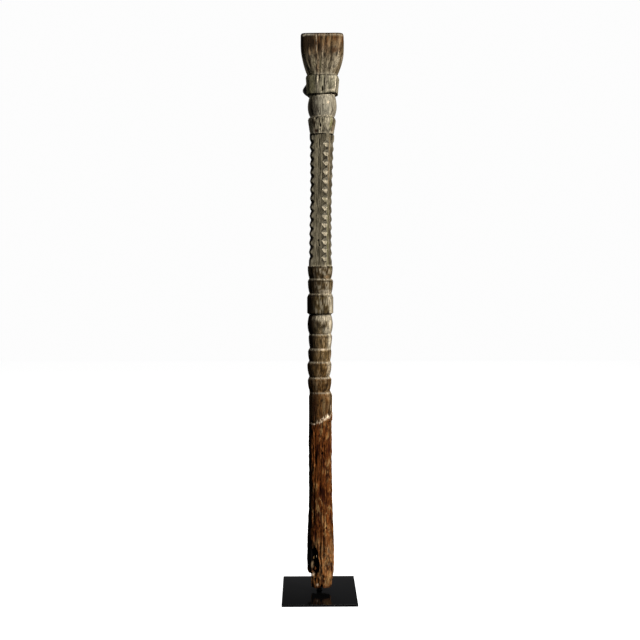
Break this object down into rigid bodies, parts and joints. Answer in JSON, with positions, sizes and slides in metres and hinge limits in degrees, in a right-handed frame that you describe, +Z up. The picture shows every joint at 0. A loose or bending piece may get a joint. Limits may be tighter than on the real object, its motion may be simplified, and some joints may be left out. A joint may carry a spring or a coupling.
{
  "type": "carved totem on steel stand",
  "caption": "Tall weathered hardwood post with flared capital, lugged collar, notch-edged squared shaft, ring-cut bands and worn foot, held upright on a flat steel stand.",
  "frame": {"origin": "middle of the stand plate's underside", "axes": "+Z up along the post, the carved front seen in the picture faces -Y, +X is to the viewer's right"},
  "size_m": [0.23, 0.255, 1.706],
  "materials": {
    "weathered_wood": "matte",
    "black_steel": "satin"
  },
  "bodies": {
    "root": {"carved_post": "weathered_wood", "base_plate": "black_steel", "mount_rod": "black_steel"}
  },
  "joints": []
}
